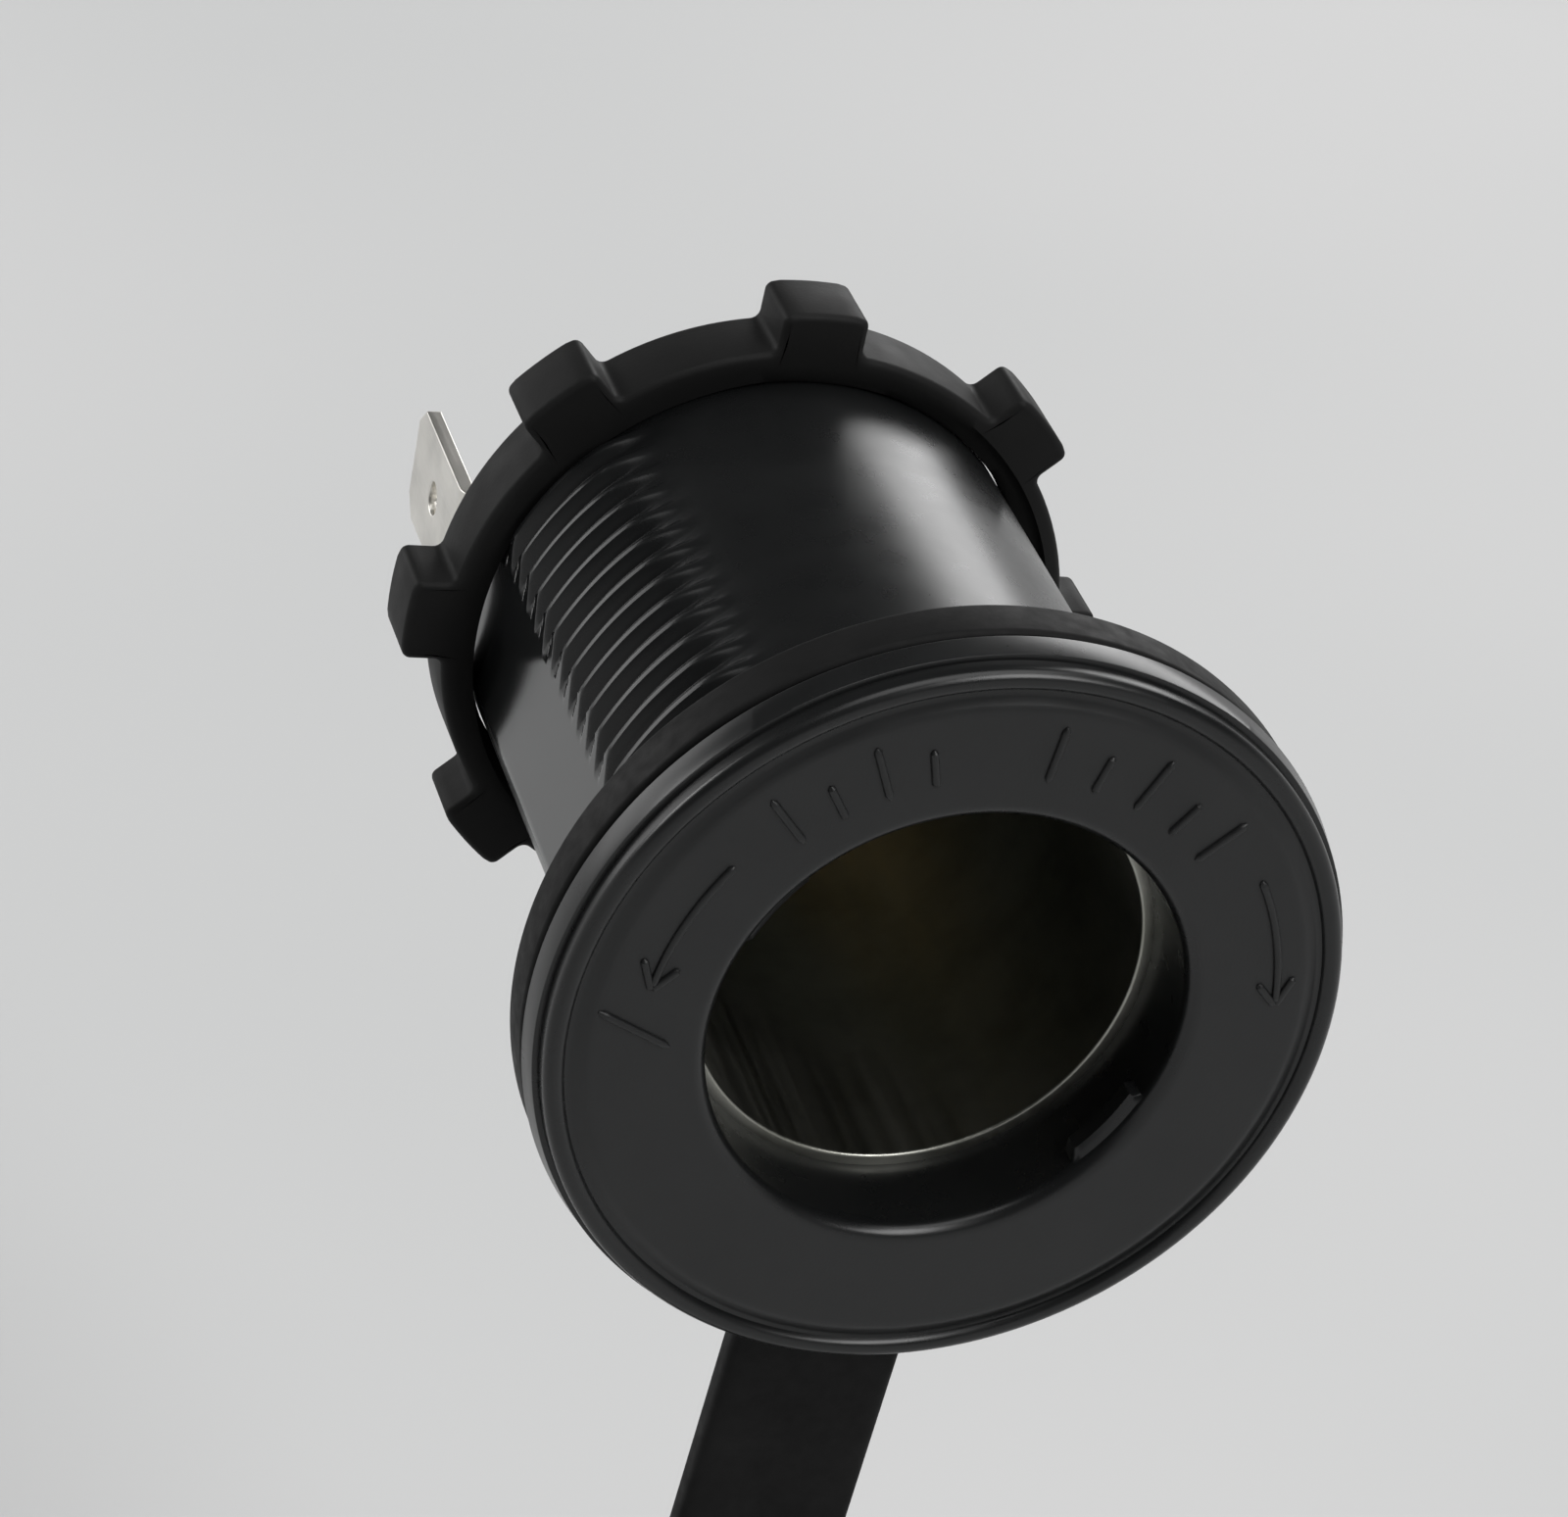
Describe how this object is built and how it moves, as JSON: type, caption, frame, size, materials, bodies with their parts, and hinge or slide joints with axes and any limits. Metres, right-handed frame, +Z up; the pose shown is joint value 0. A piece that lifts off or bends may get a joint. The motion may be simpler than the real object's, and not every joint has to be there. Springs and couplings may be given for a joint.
{
  "type": "car 12v power socket",
  "caption": "Panel-mount 12 V accessory socket with a round bezel, a threaded barrel with two flats, a castellated ring nut and a tethered dust cap.",
  "frame": {"origin": "on the well's axis, at the plane where a panel meets the tether ring", "axes": "the well's axis along Y with the bezel facing -Y, +Z up, tether and cap hanging towards -Z"},
  "size_m": [0.0413, 0.053, 0.0929],
  "materials": {
    "black_plastic": "fine matt moulded face, satin barrel",
    "nut_plastic": "matt moulded",
    "cover_plastic": "matt moulded",
    "soft_rubber": "soft matt moulding",
    "nickel_plate": "nickel plated, drawn",
    "tin_plate": "tin plated, stamped",
    "zinc_steel": "zinc plated",
    "brass": "turned",
    "fibre": "pressed fibre"
  },
  "bodies": {
    "socket": {"housing": "black_plastic", "socket_shell": "nickel_plate", "inner_insulator": "fibre", "centre_contact": "brass", "rear_cover": "cover_plastic", "ground_rivet": "brass", "negative_terminal": "tin_plate", "positive_terminal": "tin_plate", "plain_washer": "zinc_steel", "lock_washer": "zinc_steel", "stud_nut": "zinc_steel"},
    "nut": {"ring_nut": "nut_plastic"},
    "tether": {"tether_ring": "soft_rubber"},
    "cap": {"dust_cap": "soft_rubber"}
  },
  "joints": [
    {"name": "nut_travel", "type": "slide", "parent": "socket", "child": "nut", "axis": [0, 1, 0], "range_m": [-0.028, 0.00175]},
    {"name": "tether_turn", "type": "hinge", "parent": "socket", "child": "tether", "pos_m": [0, 0, 0], "axis": [0, 1, 0], "continuous": true},
    {"name": "cap_swing", "type": "hinge", "parent": "tether", "child": "cap", "pos_m": [-0.00201, -0.00398, -0.02552], "axis": [-0.9969, 0, 0.0785], "range_deg": [0, 179.5]}
  ]
}
